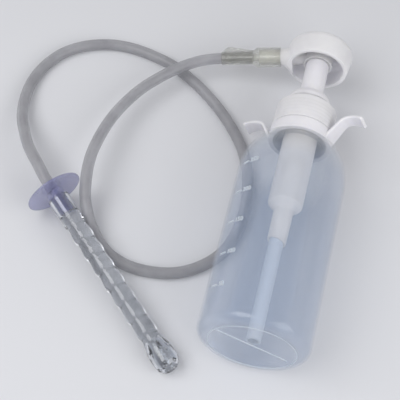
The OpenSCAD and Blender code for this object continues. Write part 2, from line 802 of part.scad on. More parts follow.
// Flat lug on the connector's tube, on the side away from the bottle
module connector_lug() {
    top_at = connector_end_at - 4;
    low = hose_tube_r - 0.6;
    rotate([0, -90, 0]) rotate([90, 0, 0]) translate([0, 0, -lug_t / 2]) linear_extrude(lug_t)
        polygon([
            [hose_seat_at - socket_cone_h, low], [hose_seat_at, hose_tube_r + 0.7],
            [top_at - 1.5, hose_tube_r + lug_h - 0.2], [top_at, hose_tube_r + lug_h],
            [top_at + 1, hose_tube_r + lug_h - 0.6], [connector_end_at - 0.4, hose_tube_r + 1.2],
            [connector_end_at - 0.4, low]
        ]);
}

module hose_connector() {
    color("lightcyan") laid() on_spout() difference() {
        union() {
            rod(socket_out_r, spout_step_at, socket_end_at);
            translate([0, 0, socket_end_at]) cylinder(r1 = socket_out_r, r2 = hose_tube_r, h = socket_cone_h);
            rod(hose_tube_r, hose_seat_at, connector_end_at);
            connector_lug();
        }
        rod(spout_end_r + fit_gap, spout_step_at - cut, spout_end_at);
        rod(connector_bore, spout_end_at - cut, connector_end_at);
        rod(hose_r + fit_gap, hose_seat_at, connector_end_at + cut);
    }
}

module hose() {
    color("lightgray") tube(hose_points, hose_r, hose_bore, hose_sides, [0, 0, 1]);
}

module splash_guard() {
    edge = 0.4;
    color("slateblue") on_nozzle() difference() {
        union() {
            rotate_extrude() polygon([
                [0, -guard_t], [guard_r - edge, -guard_t], [guard_r, -guard_t + edge],
                [guard_r, -edge], [guard_r - edge, 0], [0, 0]
            ]);
            rod(guard_boss_r, -guard_t / 2, guard_boss_h);
            rod(mouth_bore - fit_gap, 0, guard_plug_end);
            rod(barb_r, -guard_t - barb_h, 0);
        }
        rod(guard_bore, 0, guard_plug_end + cut);
        rod(barb_bore, -guard_t - barb_h - cut, cut);
    }
}

// Outline of the nozzle's waves, each one a slow rise and a short fall
function wave_side() = [
    for (i = [0 : wave_count - 1], k = [0 : 6])
        let (
            share = k < 5 ? wave_rise_share * k / 4 : wave_rise_share + (1 - wave_rise_share) * (k - 4) / 3,
            swell = k < 5 ? (1 - cos(180 * k / 4)) / 2 : (1 + cos(180 * (k - 4) / 3)) / 2
        )
        [wave_low_r + (wave_high_r - wave_low_r) * swell, wave_start + wave_pitch * (i + share)]
];

// Outline that swells from the last wave to the bulb
function bulb_neck() = [
    for (k = [1 : 8])
        [wave_low_r + (bulb_r - wave_low_r) * (1 - cos(180 * k / 8)) / 2,
         wave_end + (bulb_start - wave_end) * k / 8]
];

module nozzle() {
    in_r = bulb_r - bulb_wall;
    bulb_sweep = 80;
    color("aliceblue") on_nozzle() difference() {
        rotate_extrude() polygon(concat(
            [[mouth_bore, guard_boss_h], [nozzle_r - 0.3, guard_boss_h], [nozzle_r, guard_boss_h + 0.3]],
            [[straight_end_r, ring_at - 1.3], [nozzle_ring_r, ring_at - 0.4], [nozzle_ring_r, ring_at + 0.4]],
            wave_side(),
            [[wave_low_r, wave_end]],
            bulb_neck(),
            arc([0, bulb_at], bulb_r, bulb_r, 0, bulb_sweep),
            [[0, bulb_end_at], [0, bulb_end_at - bulb_wall]],
            arc([0, bulb_at], in_r, in_r, bulb_sweep, 0),
            [[in_r, bulb_start], [nozzle_bore, bulb_start - 8]],
            [[nozzle_bore, guard_plug_end + 1], [mouth_bore, guard_plug_end + 0.5]]
        ));
        for (i = [0 : jet_count - 1]) {
            rotate([0, 0, 360 * i / jet_count])
                translate([0, 0, bulb_at - jet_offset]) rotate([0, 90, 0]) cylinder(r = jet_r, h = 2 * bulb_r);
            rotate([0, 0, 360 * (i + 0.5) / jet_count])
                translate([0, 0, bulb_at]) rotate([0, jet_slope, 0]) cylinder(r = jet_r, h = 2 * bulb_r);
        }
    }
}

bottle();
finger_grip();
screw_cap();
neck_gasket();
lock_collar();
pump_cylinder();
inlet_ball();
ball_cage();
return_spring();
valve_seat();
piston();
stem();
outlet_ball();
pump_head();
dip_tube();
hose_connector();
hose();
splash_guard();
nozzle();
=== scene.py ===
"""Vaginal douche with a hand pump: bottle, plunger pump, hose and wave nozzle, laid on a pale table."""
import math

import bmesh
import bpy
from mathutils import Matrix, Vector


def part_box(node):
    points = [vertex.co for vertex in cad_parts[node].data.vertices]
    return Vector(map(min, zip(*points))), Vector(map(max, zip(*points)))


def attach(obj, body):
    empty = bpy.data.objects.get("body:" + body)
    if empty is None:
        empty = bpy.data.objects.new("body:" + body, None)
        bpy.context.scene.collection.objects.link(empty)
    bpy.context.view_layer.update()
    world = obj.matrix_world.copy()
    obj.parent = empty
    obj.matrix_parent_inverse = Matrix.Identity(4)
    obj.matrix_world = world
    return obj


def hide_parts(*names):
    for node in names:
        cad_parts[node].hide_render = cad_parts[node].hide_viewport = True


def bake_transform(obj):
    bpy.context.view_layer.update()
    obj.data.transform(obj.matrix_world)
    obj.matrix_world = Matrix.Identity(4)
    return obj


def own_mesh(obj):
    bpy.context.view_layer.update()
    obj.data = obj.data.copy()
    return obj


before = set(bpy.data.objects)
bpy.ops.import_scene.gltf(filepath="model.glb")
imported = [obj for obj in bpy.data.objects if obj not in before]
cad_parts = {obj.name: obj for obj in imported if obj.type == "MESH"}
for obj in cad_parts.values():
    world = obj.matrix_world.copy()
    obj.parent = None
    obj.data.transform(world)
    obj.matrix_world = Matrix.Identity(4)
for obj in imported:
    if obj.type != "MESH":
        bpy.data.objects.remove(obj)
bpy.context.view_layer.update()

# Place
# The bottle lies on its side along +Y, so its box gives the axis that the pump shares.
# Sizes are in millimetres, and places are counted from the bottle's foot on the table.
MM = 0.001
bottle_low, bottle_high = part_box("bottle")
axis_x = (bottle_low.x + bottle_high.x) / 2
axis_z = (bottle_low.z + bottle_high.z) / 2
foot_y = bottle_low.y
upright = Matrix.Translation((axis_x, foot_y, axis_z)) @ Matrix.Rotation(math.radians(-90), 4, "X")


def on_table(x, y, z):
    """A place in metres, from millimetres right of the axis, above the foot and over the table."""
    return Vector((axis_x + x * MM, foot_y + y * MM, z * MM))


# Camera
# The view is from above the foot of the bottle, far enough for a long lens, and turned
# a little so that the bottle leans to the right.
camera_at = (-18.49, -233.27, 569.55)
camera_aim = (-48.49, 96.98, 0)
camera_turn = 9.69
camera_lens = 100.31
sensor_width = 36

camera = bpy.data.objects.new("camera", bpy.data.cameras.new("camera"))
bpy.context.collection.objects.link(camera)
camera.data.sensor_width = sensor_width
camera.data.lens = camera_lens
camera.data.clip_start = 0.01
camera.data.clip_end = 20
line_of_sight = on_table(*camera_aim) - on_table(*camera_at)
looking = line_of_sight.to_track_quat("-Z", "Y").to_matrix().to_4x4()
camera.matrix_world = (
    Matrix.Translation(on_table(*camera_at)) @ looking @ Matrix.Rotation(math.radians(camera_turn), 4, "Z")
)
bpy.context.scene.camera = camera
bpy.context.scene.view_settings.view_transform = "Standard"

# Hose
# A soft PVC hose of 6.8 mm, pushed into the clear connector and over the barb behind the
# splash guard. It sags from the connector, leans on the guard, runs under the bottle's
# side and crosses itself once on the table.
hose_r = 3.4
hose_bore = 2.0
hose_sides = 28
hose_steps = 6
sharp_edge = 35
spout_roll = 13
spout_droop = 8.8
spout_up = 198.25
hose_seat_at = 41.0
connector_end_at = 60.4
nozzle_at = (-128.4, 68.6)
nozzle_turn = -42.1
guard_r = 16.6
guard_t = 1.5
bulb_at = 116.0
bulb_r = 7.15
hose_lead = 9
hose_route = [
    (-71, 184.5, 15.5), (-82, 176.5, 14.5), (-92, 166, 14), (-100.5, 154, 14.5),
    (-107, 140.5, 15.5), (-111.5, 126, 17.5), (-114, 111.5, 19.5), (-115, 96, 21),
    (-113.5, 81, 20.5), (-110, 68, 15.5), (-102.5, 56.5, 8.5), (-92, 47, 4.5),
    (-79, 42, 3.5), (-64.5, 41.5, 3.5), (-50, 45, 3.5), (-37.5, 53, 3.5),
    (-28, 64.5, 3.5), (-23, 79, 3.5), (-21.5, 94, 3.5), (-22.5, 108.5, 3.5),
    (-26, 123, 3.5), (-32, 136.5, 3.5), (-40.5, 148.5, 3.5), (-50.5, 159.5, 3.5),
    (-62, 169.5, 3.5), (-73.5, 177.5, 3.5), (-86.5, 184.5, 3.5), (-100.5, 188.5, 3.5),
    (-115.5, 190.5, 3.5), (-130, 189, 3.5), (-144, 183.5, 3.5), (-155.5, 174.5, 3.5),
    (-163.5, 162, 3.5), (-167.5, 148, 4), (-167.5, 133.5, 5.5), (-164.5, 119, 8.5),
    (-159, 106.5, 12.5), (-152, 94, 16.5), (-142.5, 82.5, 18.5),
]

nozzle_dip = math.degrees(math.acos(bulb_r / math.hypot(guard_r, bulb_at)) - math.atan2(bulb_at, guard_r))
guard_centre = on_table(*nozzle_at, guard_r * math.cos(math.radians(nozzle_dip)))
along_spout = (
    upright
    @ Matrix.Translation((0, 0, spout_up * MM))
    @ Matrix.Rotation(math.radians(180 - spout_roll), 4, "Z")
    @ Matrix.Rotation(math.radians(90 + spout_droop), 4, "Y")
)
along_nozzle = (
    Matrix.Translation(guard_centre)
    @ Matrix.Rotation(math.radians(nozzle_turn), 4, "Z")
    @ Matrix.Rotation(math.radians(90 + nozzle_dip), 4, "Y")
)


def linear(hex_colour):
    """The linear colour of an sRGB hex value."""
    parts = [int(hex_colour[i : i + 2], 16) / 255 for i in (1, 3, 5)]
    return [c / 12.92 if c <= 0.04045 else ((c + 0.055) / 1.055) ** 2.4 for c in parts] + [1.0]


def smooth_route(points, steps):
    """Points of one smooth curve through the given ones."""
    ends = [2 * points[0] - points[1], *points, 2 * points[-1] - points[-2]]
    route = []
    for a, b, c, d in zip(ends, ends[1:], ends[2:], ends[3:]):
        for i in range(steps):
            t = i / steps
            square = 2 * a - 5 * b + 4 * c - d
            cube = 3 * b - a - 3 * c + d
            route.append(0.5 * (2 * b + (c - a) * t + square * t**2 + cube * t**3))
    return route + [points[-1]]


def circle(sides):
    """The turns of a circle's points, in radians."""
    return [2 * math.pi * k / sides for k in range(sides)]


def bridge(bm, a, b):
    """Faces between two rings of points, either of which may be a single point."""
    for k in range(len(a)):
        m = (k + 1) % len(a)
        corners = list(dict.fromkeys((a[k], a[m], b[m], b[k])))
        if len(corners) > 2:
            bm.faces.new(corners)


def swept_tube(name, route, outer, bore, sides):
    """A mesh tube with a bore, closed at both ends, along a route."""
    bm = bmesh.new()
    rings = []
    for i, point in enumerate(route):
        t = (route[min(i + 1, len(route) - 1)] - route[max(i - 1, 0)]).normalized()
        side = t.cross(Vector((0, 0, 1))).normalized()
        top = side.cross(t)
        for r in (outer, bore):
            places = [point + r * MM * (math.cos(a) * side + math.sin(a) * top) for a in circle(sides)]
            rings.append([bm.verts.new(place) for place in places])
    skins = [(rings[i], rings[i + 2]) for i in range(len(rings) - 2)]
    skins += [(rings[0], rings[1]), (rings[-2], rings[-1])]
    for a, b in skins:
        bridge(bm, a, b)
    bmesh.ops.recalc_face_normals(bm, faces=bm.faces)
    return mesh_object(name, bm)


def mesh_object(name, bm):
    """An object from a bmesh, smooth but for its sharp edges."""
    mesh = bpy.data.meshes.new(name)
    for face in bm.faces:
        face.smooth = True
    for edge in bm.edges:
        edge.smooth = len(edge.link_faces) == 2 and edge.calc_face_angle(0) < math.radians(sharp_edge)
    bm.to_mesh(mesh)
    bm.free()
    piece = bpy.data.objects.new(name, mesh)
    bpy.context.collection.objects.link(piece)
    return piece


def add_node(tree, kind, settings=None, links=None):
    """A node with its settings and with links into its inputs."""
    node = tree.nodes.new(kind)
    for key, value in (settings or {}).items():
        if key in node.inputs:
            node.inputs[key].default_value = value
        else:
            setattr(node, key, value)
    for key, source in (links or {}).items():
        tree.links.new(source, node.inputs[key])
    return node


def new_material(name):
    """An empty material and its node tree."""
    material = bpy.data.materials.new(name)
    material.use_nodes = True
    material.node_tree.nodes.clear()
    return material, material.node_tree


def mottled(tree, cloud_size, low, high, stretch=(1, 1, 1)):
    """A colour that drifts between two hex values in clouds of a size in millimetres, and its height."""
    place = add_node(tree, "ShaderNodeTexCoord")
    mapping = add_node(tree, "ShaderNodeMapping", {"Scale": stretch}, {"Vector": place.outputs["Object"]})
    cloud = add_node(
        tree,
        "ShaderNodeTexNoise",
        {"Scale": 1 / (cloud_size * MM), "Detail": 3.0, "Roughness": 0.55},
        {"Vector": mapping.outputs[0]},
    )
    ramp = add_node(tree, "ShaderNodeValToRGB", {}, {"Fac": cloud.outputs["Fac"]})
    for stop, position, tone in zip(ramp.color_ramp.elements, (0.3, 0.7), (low, high)):
        stop.position = position
        stop.color = linear(tone)
    return ramp.outputs["Color"], cloud.outputs["Fac"]


def add_surface(tree, finish, tone, height, strength, depth):
    """The surface itself: its gloss, its colour, and a bump of a strength and a depth in millimetres."""
    relief = {"Strength": strength, "Distance": depth * MM}
    bump = add_node(tree, "ShaderNodeBump", relief, {"Height": height})
    body = add_node(tree, "ShaderNodeBsdfPrincipled", finish, {"Base Color": tone, "Normal": bump.outputs[0]})
    add_node(tree, "ShaderNodeOutputMaterial", {}, {"Surface": body.outputs[0]})


def extruded_pvc():
    """Plasticised PVC, extruded: dull gloss, cloudy, and greyer where the wall is thick."""
    material, tree = new_material("extruded_pvc")
    tone, cloud = mottled(tree, 11.1, "#adadb2", "#c0c0c5")
    finish = {
        "Roughness": 0.3,
        "IOR": 1.5,
        "Transmission Weight": 0.3,
        "Specular IOR Level": 0.5,
        "Alpha": 0.6,
    }
    add_surface(tree, finish, tone, cloud, 0.15, 0.3)
    return material


hose_points = (
    [along_spout @ Vector((0, 0, at * MM)) for at in (hose_seat_at, connector_end_at)]
    + [on_table(*p) for p in hose_route]
    + [along_nozzle @ Vector((0, 0, at * MM)) for at in (-guard_t - hose_lead, -guard_t)]
)
hose_line = smooth_route(hose_points, hose_steps)
hose = swept_tube("soft_hose", hose_line, hose_r, hose_bore, hose_sides)
hose.data.materials.append(extruded_pvc())
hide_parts("hose")
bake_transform(hose)

# Bottle
# A blown polyethylene bottle of 300 ml with a hollow foot and a neck. It is milky and
# lets the pump show through.
bottle_r = 31.0
bottle_wall = 1.2
body_h = 105.0
shoulder_h = 26.0
neck_r = 15.4
neck_wall = 2.0
neck_top = 152.0
corner_r = 6.0
foot_ring_w = 1.0
foot_recess = 1.5
pinch_angle = 22.5
foot_edge = 0.8
# Painted light: from these heights up, the bottle's colour blends into a pale neck tone that stands for light
# scattered round the neck.
painted_light_from = 106.0
painted_light_to = 128.0
painted_neck_light = "#e6ebf2"
lathe_sides = 128
shoulder_steps = 24
on_axis = 1e-6
side_share = 0.49


def rounded(corners, steps=6):
    """A profile from (radius, height, rounding) corners, each rounding drawn as an arc."""
    points = []
    for i, (r, h, rounding) in enumerate(corners):
        here = Vector((r, h))
        if rounding == 0 or i in (0, len(corners) - 1):
            points.append(here)
            continue
        before = Vector(corners[i - 1][:2]) - here
        after = Vector(corners[i + 1][:2]) - here
        half = before.angle(after) / 2
        back = min(rounding / math.tan(half), before.length * side_share, after.length * side_share)
        start, end = here + before.normalized() * back, here + after.normalized() * back
        for k in range(steps + 1):
            t = k / steps
            points.append((1 - t) ** 2 * start + 2 * t * (1 - t) * here + t**2 * end)
    return points


def arc(centre, radii, first, last, steps=10):
    """Points of an ellipse's arc, its angles in degrees from the outward direction."""
    turns = [math.radians(first + (last - first) * k / steps) for k in range(steps + 1)]
    x, y = centre
    return [Vector((x + radii[0] * math.cos(a), y + radii[1] * math.sin(a))) for a in turns]


def revolve(profile, sides=lathe_sides, closed=False):
    """A bmesh turned from a profile of (radius, height) points round +Z, in millimetres."""
    bm = bmesh.new()
    rings = []
    for r, h in profile:
        if r < on_axis:
            rings.append([bm.verts.new((0, 0, h))] * sides)
            continue
        rings.append([bm.verts.new((r * math.cos(a), r * math.sin(a), h)) for a in circle(sides)])
    pairs = list(zip(rings, rings[1:]))
    if closed:
        pairs.append((rings[-1], rings[0]))
    for a, b in pairs:
        bridge(bm, a, b)
    bmesh.ops.recalc_face_normals(bm, faces=bm.faces)
    return bm


def placed(name, bm, place):
    """An object from a bmesh in millimetres, put in its place in the frame."""
    bm.transform(place @ Matrix.Scale(MM, 4))
    return mesh_object(name, bm)


def finished(piece, body, slot_name, material, *nodes):
    """Gives a piece its body, its finish and the nodes that it stands for."""
    piece.data.materials.clear()
    piece.data.materials.append(material)
    if nodes:
        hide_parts(*nodes)
    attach(piece, body)


def blown_polyethylene():
    """Natural LDPE, blown: milky, bluish and satin, whitened towards the neck by painted light."""
    material, tree = new_material("blown_polyethylene")
    tone, cloud = mottled(tree, 33.3, "#a6bbdb", "#b9cae4", stretch=(1, 0.25, 1))
    place = add_node(tree, "ShaderNodeTexCoord")
    along = add_node(tree, "ShaderNodeSeparateXYZ", {}, {"Vector": place.outputs["Object"]})
    painted_light_share = add_node(
        tree,
        "ShaderNodeMapRange",
        {"From Min": foot_y + painted_light_from * MM, "From Max": foot_y + painted_light_to * MM},
        {"Value": along.outputs["Y"]},
    )
    # Painted light: the pale neck tone is mixed in towards the neck.
    painted_light_tone = add_node(
        tree,
        "ShaderNodeMixRGB",
        {"Color2": linear(painted_neck_light)},
        {"Fac": painted_light_share.outputs["Result"], "Color1": tone},
    )
    finish = {
        "Roughness": 0.16,
        "IOR": 1.54,
        "Transmission Weight": 0.42,
        "Specular IOR Level": 1.0,
        "Alpha": 0.22,
        "Coat Weight": 0.8,
        "Coat Roughness": 0.08,
    }
    add_surface(tree, finish, painted_light_tone.outputs["Color"], cloud, 0.02, 0.2)
    return material


neck_bore = neck_r - neck_wall
flat_r = bottle_r - corner_r
recess_r = flat_r - foot_ring_w
recess_floor_r = recess_r - 2 * foot_recess
inner_r = bottle_r - bottle_wall
inner_corner_r = corner_r - bottle_wall
foot_outside = [
    (0, foot_recess, 0),
    (recess_floor_r, foot_recess, 2),
    (recess_r, 0, foot_edge),
    (flat_r, 0, 0),
]
foot_inside = [
    (flat_r - 0.5, bottle_wall, 0),
    (recess_r, bottle_wall, foot_edge),
    (recess_floor_r, foot_recess + bottle_wall, 2),
    (0, foot_recess + bottle_wall, 0),
]
neck_outline = [(neck_r, body_h + shoulder_h, 0), (neck_r, neck_top, 0.5), (neck_bore, neck_top, 0)]
shoulder_in = (inner_r - neck_bore, shoulder_h - bottle_wall)
bottle_profile = (
    rounded(foot_outside)
    + arc((flat_r, corner_r), (corner_r, corner_r), -90, 0)[1:]
    + arc((neck_r, body_h), (bottle_r - neck_r, shoulder_h), 0, 88, shoulder_steps)
    + rounded(neck_outline)
    + arc((neck_bore, body_h), shoulder_in, 90, 0, shoulder_steps)
    + arc((flat_r, corner_r), (inner_corner_r, inner_corner_r), 0, -90)
    + rounded(foot_inside)
)
polyethylene = blown_polyethylene()
bottle = placed("blown_bottle", revolve(bottle_profile), upright)
finished(bottle, "container", "bottle_pe", polyethylene, "bottle")

# Scale on the bottle
# Five raised lines, 50 ml apart, with their numbers. They are blown with the wall, on the
# bottle's left side.
mark_count = 5
mark_first = 22.0
mark_pitch = 19.7
mark_angle = 149.5
mark_len = 4.5
mark_line_w = 0.8
mark_rise = 0.3
number_angle = 143.0
number_size = 3.8
volume_step = 50
line_points = 7
same_point = 1e-6


def baked(piece):
    """Turns what a piece's modifiers make into its plain mesh."""
    graph = bpy.context.evaluated_depsgraph_get()
    mesh = bpy.data.meshes.new_from_object(piece.evaluated_get(graph), depsgraph=graph)
    piece.modifiers.clear()
    piece.data = mesh
    return piece


def node_group(name, sizes):
    """A Geometry Nodes tree with named sizes, and a dictionary of their sockets."""
    tree = bpy.data.node_groups.new(name, "GeometryNodeTree")
    tree.interface.new_socket("Geometry", in_out="INPUT", socket_type="NodeSocketGeometry")
    tree.interface.new_socket("Geometry", in_out="OUTPUT", socket_type="NodeSocketGeometry")
    for size in sizes:
        kind = "NodeSocketInt" if isinstance(sizes[size], int) else "NodeSocketFloat"
        tree.interface.new_socket(size, in_out="INPUT", socket_type=kind)
    source = add_node(tree, "NodeGroupInput")
    return tree, source.outputs


def grown(name, tree, sizes, shape, material):
    """The plain mesh of a Geometry Nodes tree, set to the given sizes."""
    real = add_node(tree, "GeometryNodeRealizeInstances", {}, {"Geometry": shape})
    painted = add_node(tree, "GeometryNodeSetMaterial", {"Material": material}, {"Geometry": real.outputs[0]})
    add_node(tree, "NodeGroupOutput", {}, {"Geometry": painted.outputs[0]})
    piece = bpy.data.objects.new(name, bpy.data.meshes.new(name))
    bpy.context.collection.objects.link(piece)
    modifier = piece.modifiers.new(name, "NODES")
    modifier.node_group = tree
    for item in tree.interface.items_tree:
        if item.in_out == "INPUT" and item.name in sizes:
            modifier[item.identifier] = sizes[item.name]
    return baked(piece)


def wrapped(piece, angle, height):
    """Bends a flat mesh in millimetres round the bottle, from an angle and a height."""
    for vertex in piece.data.vertices:
        across, up, out = vertex.co
        turn = math.radians(angle) - across / bottle_r
        r = bottle_r + out
        vertex.co = on_table(r * math.cos(turn), height + up, bottle_r + r * math.sin(turn))


def painted_highlight_polyethylene():
    """The same LDPE in a paler tone: a painted highlight on the scale's ridges, the pinch-off line and the
    foot rim.
    """
    material, tree = new_material("painted_highlight_polyethylene")
    tone, cloud = mottled(tree, 2.5, "#dde6ef", "#ecf1f7")
    finish = {
        "Roughness": 0.3,
        "IOR": 1.5,
        "Transmission Weight": 0.1,
        "Specular IOR Level": 0.6,
        "Alpha": 0.8,
    }
    add_surface(tree, finish, tone, cloud, 0.1, 0.1)
    return material


line_sizes = {
    "Count": mark_count,
    "Pitch": mark_pitch,
    "Length": mark_len,
    "Width": mark_line_w,
    "Depth": 2 * mark_rise,
}
tree, source = node_group("scale_lines", line_sizes)
step = add_node(tree, "ShaderNodeCombineXYZ", {}, {"Y": source["Pitch"]})
rungs = add_node(tree, "GeometryNodeMeshLine", {}, {"Count": source["Count"], "Offset": step.outputs[0]})
bar_size = add_node(
    tree, "ShaderNodeCombineXYZ", {}, {"X": source["Length"], "Y": source["Width"], "Z": source["Depth"]}
)
bar = add_node(tree, "GeometryNodeMeshCube", {"Vertices X": line_points}, {"Size": bar_size.outputs[0]})
lines = add_node(
    tree, "GeometryNodeInstanceOnPoints", {}, {"Points": rungs.outputs[0], "Instance": bar.outputs["Mesh"]}
)
# Painted highlight: the scale's ridges and numbers, the pinch-off line and the foot rim take a paler tone
# than the wall, standing for glints on them.
painted_highlight_material = painted_highlight_polyethylene()
scale_lines = grown("scale_lines", tree, line_sizes, lines.outputs[0], painted_highlight_material)
wrapped(scale_lines, mark_angle, mark_first)
ridges = [scale_lines]
for i in range(mark_count):
    text = bpy.data.curves.new("number", "FONT")
    text.body = str((i + 1) * volume_step)
    text.size = number_size
    text.extrude = mark_rise
    text.align_y = "CENTER"
    number = bpy.data.objects.new("number", text)
    bpy.context.collection.objects.link(number)
    flat = bpy.data.objects.new("number_mesh", bpy.data.meshes.new_from_object(number))
    bpy.data.objects.remove(number)
    bpy.context.collection.objects.link(flat)
    wrapped(flat, number_angle, mark_first + i * mark_pitch)
    ridges.append(flat)


def joined(name, pieces):
    """One object from several, its parts kept as they are."""
    bm = bmesh.new()
    for piece in pieces:
        bm.from_mesh(piece.data)
        bpy.data.objects.remove(piece)
    mesh = bpy.data.meshes.new(name)
    bmesh.ops.remove_doubles(bm, verts=bm.verts, dist=same_point)
    bmesh.ops.recalc_face_normals(bm, faces=bm.faces)
    bm.to_mesh(mesh)
    bm.free()
    whole = bpy.data.objects.new(name, mesh)
    bpy.context.collection.objects.link(whole)
    return whole


finished(joined("raised_scale", ridges), "container", "bottle_pe", painted_highlight_material)

# Neck thread, pinch-off line and foot rim
# The thread is blown with the neck. The line is where the mould closed the parison, and the
# rim is a thin pale wire on the edge of the hollow that the foot stands on. Both take the
# scale's paler tone, which is a painted highlight.
thread_pitch = 4.0
thread_turns = 1.6
thread_wire = 0.9
thread_from = 142.5
thread_out = 0.2
coil_steps = 40
wire_sides = 12
pinch_w = 0.6
pinch_bevel = 0.12
rim_wire = 0.22
rim_sides = 12


def coil(name, radius, turns, height, wire, material):
    """A round wire wound round +Z, in millimetres."""
    sizes = {"Radius": radius, "Turns": turns, "Height": height, "Wire": wire}
    tree, source = node_group(name, sizes)
    winding = add_node(
        tree,
        "GeometryNodeCurveSpiral",
        {"Resolution": coil_steps},
        {
            "Rotations": source["Turns"],
            "Start Radius": source["Radius"],
            "End Radius": source["Radius"],
            "Height": source["Height"],
        },
    )
    section = add_node(
        tree, "GeometryNodeCurvePrimitiveCircle", {"Resolution": wire_sides}, {"Radius": source["Wire"]}
    )
    wire_mesh = add_node(
        tree,
        "GeometryNodeCurveToMesh",
        {"Fill Caps": True},
        {"Curve": winding.outputs[0], "Profile Curve": section.outputs[0]},
    )
    smooth = add_node(tree, "GeometryNodeSetShadeSmooth", {}, {"Geometry": wire_mesh.outputs[0]})
    return grown(name, tree, sizes, smooth.outputs[0], material)


neck_crest = neck_r + thread_out
thread = coil("neck_thread", neck_crest, thread_turns, thread_pitch * thread_turns, thread_wire, polyethylene)
thread.data.transform(upright @ Matrix.Scale(MM, 4) @ Matrix.Translation((0, 0, thread_from)))
finished(thread, "container", "bottle_pe", polyethylene)

pinch_len = 2 * (recess_r - 1.5 * foot_recess)
bm = bmesh.new()
bmesh.ops.create_cube(bm, size=1)
bm.transform(
    Matrix.Rotation(math.radians(pinch_angle), 4, "Z")
    @ Matrix.Translation((0, 0, foot_recess))
    @ Matrix.Diagonal((pinch_len, pinch_w, pinch_w, 1))
)
bmesh.ops.bevel(bm, geom=bm.edges[:], offset=pinch_bevel, segments=2, affect="EDGES")
finished(placed("pinch_off_line", bm, upright), "container", "bottle_pe", painted_highlight_material)

rim_end = 360 - 360 / rim_sides
# Painted highlight: a thin pale wire on the foot's edge stands for the bright line seen there.
rim = revolve(arc((recess_r, rim_wire), (rim_wire, rim_wire), 0, rim_end, rim_sides - 1), closed=True)
finished(placed("foot_rim_highlight", rim, upright), "container", "bottle_pe", painted_highlight_material)

# Finger grip
# A moulded polypropylene ring that turns on the neck over the shoulder. Two wings rise
# from it, narrow to a waist and hook down, for two fingers while the thumb pumps.
grip_r = 18.6
grip_z = 131.3
grip_h = 8.0
grip_bore = 15.7
grip_flange_h = 1.7
grip_groove = 0.3
wing_roll = 28
wing_t = 1.8
wing_root_w = 11.0
wing_waist_w = 8.4
wing_waist_at = 0.55
wing_tip_w = 10.8
wing_corner = 1.2
wing_root_up = 3.9
wing_rise_len = 10.0
wing_rise_slope = 59
wing_bend_r = 6.5
wing_level_slope = 12
wing_hook_r = 11.0
wing_tip_slope = 38
wing_root_in = 2.4
wing_edge_share = 0.3
wing_bend_steps = 14
wing_edge_points = 4
grip_inset = 0.1
spark_grain = 0.556
thick_glow = 2.0


def moulded_polypropylene(name, glow):
    """White PP, injection moulded: a clean, semi-gloss skin with the mould's fine spark grain.

    The glow is how far light spreads inside it, in millimetres.
    """
    material, tree = new_material(name)
    tone, _ = mottled(tree, 16.7, "#e2e1e5", "#ebeaee")
    place = add_node(tree, "ShaderNodeTexCoord")
    grain = add_node(
        tree,
        "ShaderNodeTexNoise",
        {"Scale": 1 / (spark_grain * MM), "Detail": 2.0},
        {"Vector": place.outputs["Object"]},
    )
    finish = {
        "Roughness": 0.38,
        "IOR": 1.49,
        "Specular IOR Level": 0.45,
        "Subsurface Weight": 0.7,
        "Subsurface Scale": glow * MM,
        "Subsurface Radius": (1.0, 1.0, 1.1),
    }
    add_surface(tree, finish, tone, grain.outputs["Fac"], 0.08, 0.05)
    return material


def combined(piece, other, operation):
    """Adds another mesh to a piece or cuts it out, and removes the other."""
    change = piece.modifiers.new(operation, "BOOLEAN")
    change.operation = operation
    change.solver = "EXACT"
    change.object = other
    baked(piece)
    bpy.data.objects.remove(other)
    return piece


def wing_line():
    """The middle line of a wing as (radius, height) points, from inside the ring to the tip."""
    up = Vector((math.cos(math.radians(wing_rise_slope)), math.sin(math.radians(wing_rise_slope))))
    root = Vector((grip_r - grip_inset, grip_z + wing_root_up))
    points = [root - wing_root_in * up, root, root + wing_rise_len / 2 * up, root + wing_rise_len * up]
    for r, first, last in (
        (wing_bend_r, wing_rise_slope, wing_level_slope),
        (wing_hook_r, wing_level_slope, -wing_tip_slope),
    ):
        a = math.radians(first)
        centre = points[-1] + r * Vector((math.sin(a), -math.cos(a)))
        points += arc(centre, (r, r), first + 90, last + 90, wing_bend_steps)[1:]
    return points


def wing():
    """One wing: a strip with rounded edges swept along its line, with a waist and a square tip."""
    line = wing_line()
    lengths = [0.0]
    for a, b in zip(line, line[1:]):
        lengths.append(lengths[-1] + (b - a).length)
    tip_x = line[-1].x
    waist_x = grip_r + wing_waist_at * (tip_x - grip_r)
    edge = wing_t * wing_edge_share
    bm = bmesh.new()
    rings = []
    for i, point in enumerate(line):
        t = (line[min(i + 1, len(line) - 1)] - line[max(i - 1, 0)]).normalized()
        normal = Vector((-t.y, t.x))
        end_x, end_w = (grip_r, wing_root_w) if point.x < waist_x else (tip_x, wing_tip_w)
        share = min(1, (point.x - waist_x) / (end_x - waist_x))
        half = (wing_waist_w + (end_w - wing_waist_w) * share**2) / 2
        past = max(0, lengths[i] - lengths[-1] + wing_corner)
        half -= wing_corner - math.sqrt(max(0, wing_corner**2 - past**2))
        flat = half - edge
        section = []
        for side, up, turn in ((1, 1, 0), (-1, 1, 90), (-1, -1, 180), (1, -1, 270)):
            corner = (side * flat, up * (wing_t / 2 - edge))
            section += arc(corner, (edge, edge), turn, turn + 90, wing_edge_points - 1)
        rings.append([bm.verts.new((point.x + v * normal.x, u, point.y + v * normal.y)) for u, v in section])
    for a, b in zip(rings, rings[1:]):
        bridge(bm, a, b)
    bm.faces.new(rings[0])
    bm.faces.new(rings[-1])
    bmesh.ops.recalc_face_normals(bm, faces=bm.faces)
    return bm


